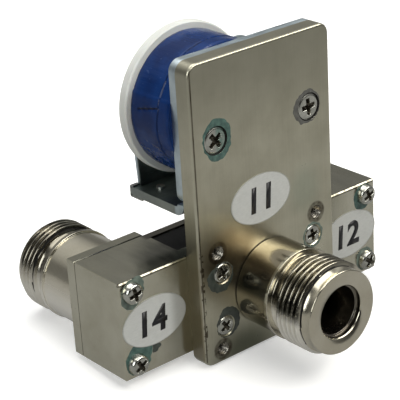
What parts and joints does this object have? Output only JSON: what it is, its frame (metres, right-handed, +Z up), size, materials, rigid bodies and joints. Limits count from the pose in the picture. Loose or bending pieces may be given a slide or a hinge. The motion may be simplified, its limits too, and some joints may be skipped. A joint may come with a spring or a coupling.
{
  "type": "coaxial antenna switch",
  "caption": "Coaxial antenna changeover relay: nickel-plated RF block with threaded jacks, a clapper coil relay on a mounting plate and a rocking contact blade inside.",
  "frame": {"origin": "on the common jack's axis, at the front face of the mounting plate, midway between the four panel holes", "axes": "-Y out of the common jack, +Y towards the rear jacks, +X along the body towards the normally closed jack, +Z up towards the coil"},
  "size_m": [0.0574, 0.0503, 0.0544],
  "materials": {
    "nickel_plate": "satin nickel plating with fine streaks",
    "nickel_body": "satin nickel plating",
    "nickel_jack": "bright turned nickel plating",
    "black_plastic": "matt moulded",
    "white_plastic": "smooth moulded",
    "ptfe": "waxy turned",
    "silvered_contact": "silver plated",
    "tinned_brass": "tinned",
    "rivet_metal": "plain",
    "zinc_steel": "bluish zinc plating",
    "spring_steel": "drawn",
    "screw_steel": "nickel plated",
    "copper_wire": "enamelled winding",
    "blue_tape": "glossy film tape",
    "label_paper": "printed sticker"
  },
  "bodies": {
    "frame": {"bobbin": "white_plastic", "body_screws": "screw_steel", "clip_rivets": "rivet_metal", "coil_tape": "blue_tape", "coil_terminals": "tinned_brass", "coil_winding": "copper_wire", "com_bead": "ptfe", "com_contact": "silvered_contact", "com_label": "label_paper", "com_shell": "nickel_jack", "core": "zinc_steel", "front_plate": "nickel_plate", "nc_bead": "ptfe", "nc_contact": "silvered_contact", "nc_flange": "nickel_body", "nc_flange_screws": "screw_steel", "nc_label": "label_paper", "nc_shell": "nickel_jack", "no_bead": "ptfe", "no_contact": "silvered_contact", "no_flange": "nickel_body", "no_flange_screws": "screw_steel", "no_label": "label_paper", "no_shell": "nickel_jack", "pivot_clips": "spring_steel", "pusher_guide": "black_plastic", "return_spring": "spring_steel", "switch_body": "nickel_body", "yoke": "zinc_steel", "yoke_screws": "screw_steel"},
    "armature": {"armature": "zinc_steel"},
    "press_pusher": {"press_pusher": "ptfe"},
    "spring_pusher": {"spring_pusher": "ptfe"},
    "contact_rocker": {"contact_blade": "silvered_contact", "blade_saddle": "silvered_contact", "blade_rivets": "rivet_metal"}
  },
  "joints": [
    {"name": "armature_hinge", "type": "hinge", "parent": "frame", "child": "armature", "pos_m": [0, 0.01635, 0.0162], "axis": [1, 0, 0], "range_deg": [0, 4.29], "stiffness_Nm_per_rad": 0.05, "springref_deg": -5.73},
    {"name": "press_pusher_slide", "type": "slide", "parent": "frame", "child": "press_pusher", "axis": [0, 0, -1], "range_m": [0, 0.0005359]},
    {"name": "spring_pusher_slide", "type": "slide", "parent": "frame", "child": "spring_pusher", "axis": [0, 0, 1], "range_m": [0, 0.0005359], "deforming": ["return_spring"]},
    {"name": "contact_rock", "type": "hinge", "parent": "frame", "child": "contact_rocker", "pos_m": [0, 0.0093, 0], "axis": [0, -1, 0], "range_deg": [0, 4.38]}
  ],
  "couplings": [
    {"joint": "press_pusher_slide", "follows": "armature_hinge", "m_per_rad": 0.0071604},
    {"joint": "spring_pusher_slide", "follows": "armature_hinge", "m_per_rad": 0.0071604},
    {"joint": "contact_rock", "follows": "armature_hinge", "ratio": 1.022}
  ]
}
